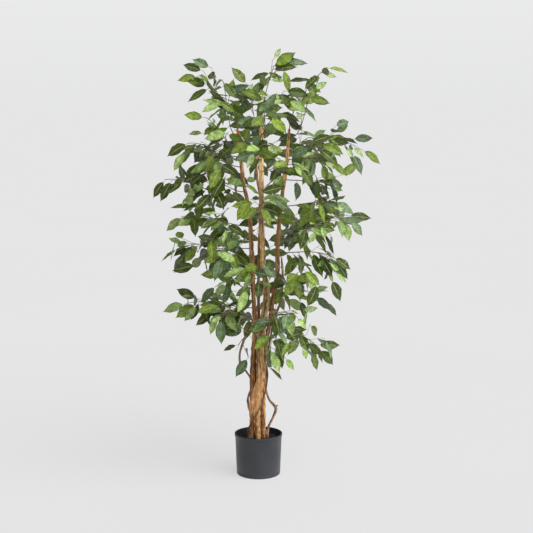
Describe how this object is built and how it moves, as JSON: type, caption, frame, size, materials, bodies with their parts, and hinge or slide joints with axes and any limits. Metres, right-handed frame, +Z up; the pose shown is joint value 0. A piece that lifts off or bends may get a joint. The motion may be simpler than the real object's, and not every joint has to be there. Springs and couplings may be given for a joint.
{
  "type": "potted artificial ficus tree",
  "caption": "Tall indoor fig tree with twisted wood stems and airy tiers of small pointed leaves, standing in a plain tapered nursery pot.",
  "frame": {"origin": "centre of the pot's flat underside, which stands on the floor", "axes": "+Z up along the pot's axis, -Y towards the viewer of the front, +X to the right of the front"},
  "size_m": [0.7937, 0.562, 1.5011],
  "materials": {
    "pot": "satin moulded dark grey",
    "filling": "rough poured filling, dark on top",
    "bark": "natural bark, dull",
    "foliage": "pressed leaf fabric with a soft sheen, on wrapped brown wire"
  },
  "bodies": {
    "root": {"pot": "pot", "ballast": "filling", "stem_left": "bark", "stem_middle": "bark", "stem_right": "bark", "stem_back": "bark", "liana_left": "bark", "liana_right": "bark", "vine": "bark", "branch_top_spire": "foliage", "branch_top_right": "foliage", "branch_top_right_low": "foliage", "branch_top_mid": "foliage", "branch_top_left_far": "foliage", "branch_top_left_near": "foliage", "branch_top_centre_left": "foliage", "branch_top_back": "foliage", "branch_top_front": "foliage", "branch_left_high": "foliage", "branch_left_high_out": "foliage", "branch_left_high_front": "foliage", "branch_left_up_mid": "foliage", "branch_left_up_front": "foliage", "branch_back_left_high": "foliage", "branch_left_mid": "foliage", "branch_left_mid_front": "foliage", "branch_left_low_out": "foliage", "branch_left_low_front": "foliage", "branch_left_low_mid": "foliage", "branch_back_left_mid": "foliage", "branch_left_bottom_out": "foliage", "branch_left_bottom_front": "foliage", "branch_left_bottom_in": "foliage", "branch_back_left_low": "foliage", "branch_right_high_out": "foliage", "branch_right_high_front": "foliage", "branch_right_high_mid": "foliage", "branch_back_right_high": "foliage", "branch_right_up_mid": "foliage", "branch_right_up_front": "foliage", "branch_right_mid": "foliage", "branch_right_mid_front": "foliage", "branch_back_right_mid": "foliage", "branch_right_low_out": "foliage", "branch_right_low_front": "foliage", "branch_right_low_back": "foliage", "branch_right_bottom_front": "foliage", "branch_right_bottom_out": "foliage", "branch_right_bottom_in": "foliage", "branch_back_right_low": "foliage", "branch_front_high": "foliage", "branch_front_mid": "foliage", "branch_front_low": "foliage", "branch_back_high": "foliage", "branch_back_mid": "foliage", "branch_back_low": "foliage"}
  },
  "joints": []
}
